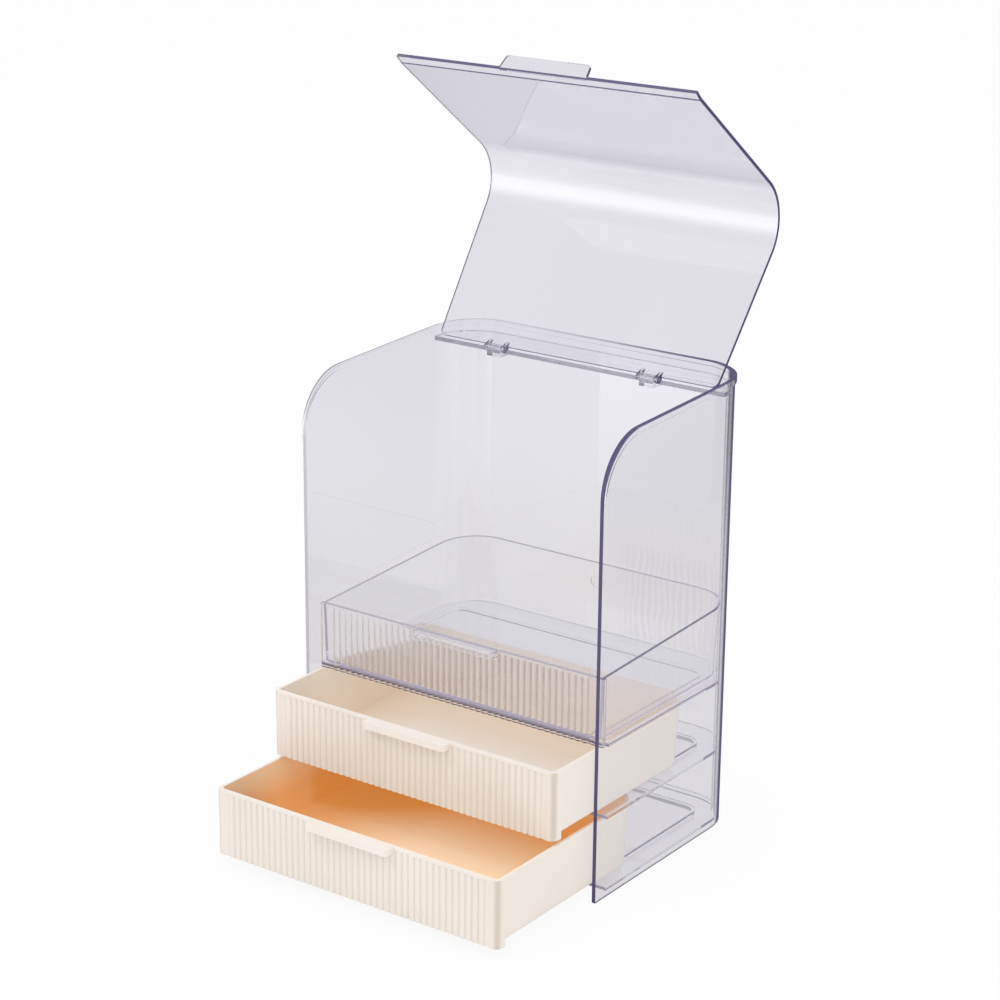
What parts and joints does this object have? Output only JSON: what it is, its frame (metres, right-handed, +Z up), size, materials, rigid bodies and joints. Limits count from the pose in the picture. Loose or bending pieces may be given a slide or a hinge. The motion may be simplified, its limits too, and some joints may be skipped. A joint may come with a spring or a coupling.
{
  "type": "makeup organizer",
  "caption": "Clear open-fronted organizer case with a folding bent lid, cream reeded drawers and a clear reeded drawer on moulded shelves.",
  "frame": {"origin": "on the ground, under the middle of the case's walls", "axes": "+Z up, -Y towards the open front, +X to the right as seen from the front"},
  "size_m": [0.2726, 0.3536, 0.5833],
  "materials": {
    "clear": "polished",
    "cream": "satin"
  },
  "bodies": {
    "case": {"shell": "clear", "base_plate": "clear", "middle_shelf": "clear", "upper_shelf": "clear", "hinge_plate": "clear", "hinge_clip_left": "clear", "hinge_clip_right": "clear", "hinge_pin_left": "clear", "hinge_pin_right": "clear"},
    "lid": {"lid": "clear"},
    "clear_drawer": {"clear_drawer": "clear"},
    "upper_drawer": {"upper_drawer": "cream"},
    "lower_drawer": {"lower_drawer": "cream"}
  },
  "joints": [
    {"name": "lid_hinge", "type": "hinge", "parent": "case", "child": "lid", "pos_m": [0, 0.0545, 0.35028], "axis": [1, 0, 0], "range_deg": [0, 128]},
    {"name": "clear_drawer_slide", "type": "slide", "parent": "case", "child": "clear_drawer", "axis": [0, -1, 0], "range_m": [0, 0.14]},
    {"name": "upper_drawer_slide", "type": "slide", "parent": "case", "child": "upper_drawer", "axis": [0, -1, 0], "range_m": [-0.0572, 0.0828]},
    {"name": "lower_drawer_slide", "type": "slide", "parent": "case", "child": "lower_drawer", "axis": [0, -1, 0], "range_m": [-0.1238, 0.0162]}
  ]
}
